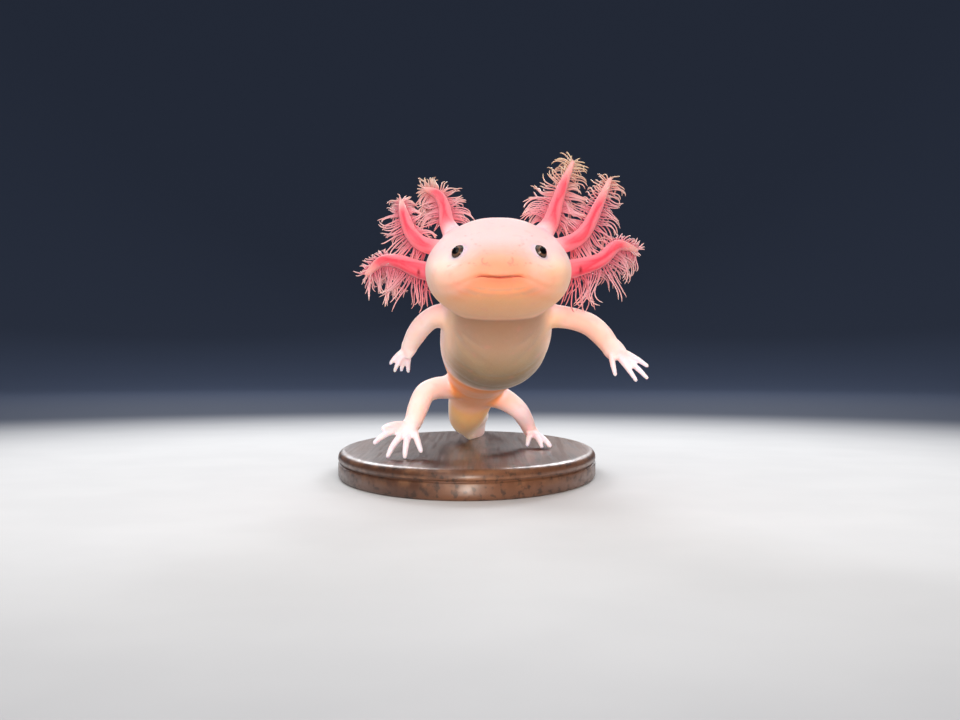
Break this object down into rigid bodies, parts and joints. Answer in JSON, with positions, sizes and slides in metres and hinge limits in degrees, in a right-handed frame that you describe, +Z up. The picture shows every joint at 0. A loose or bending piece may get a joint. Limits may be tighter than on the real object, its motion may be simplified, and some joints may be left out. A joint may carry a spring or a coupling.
{
  "type": "axolotl display model",
  "caption": "Life-size axolotl with feathery gills and a finned tail, rearing up on its hind feet over a plain oval base.",
  "frame": {"origin": "middle of the base's underside", "axes": "+Z up, the animal faces -Y, its own left side is +X"},
  "size_m": [0.0656, 0.132, 0.0694],
  "materials": {
    "skin": "wet, pale pink skin",
    "gill_skin": "wet, red gill skin",
    "eye": "polished, near black",
    "base": "dark stained wood, satin"
  },
  "bodies": {
    "root": {"head": "skin", "lower_jaw": "skin", "trunk": "skin", "pelvis": "skin", "tail_base": "skin", "tail_middle": "skin", "tail_tip": "skin", "fin_dorsal": "skin", "fin_ventral": "skin", "arm_upper_left": "skin", "arm_fore_left": "skin", "hand_left": "skin", "arm_upper_right": "skin", "arm_fore_right": "skin", "hand_right": "skin", "thigh_left": "skin", "shin_left": "skin", "foot_left": "skin", "thigh_right": "skin", "shin_right": "skin", "foot_right": "skin", "gill_left_top": "gill_skin", "gill_left_middle": "gill_skin", "gill_left_bottom": "gill_skin", "gill_right_top": "gill_skin", "gill_right_middle": "gill_skin", "gill_right_bottom": "gill_skin", "eye_left": "eye", "eye_right": "eye", "stand_base": "base"}
  },
  "joints": []
}
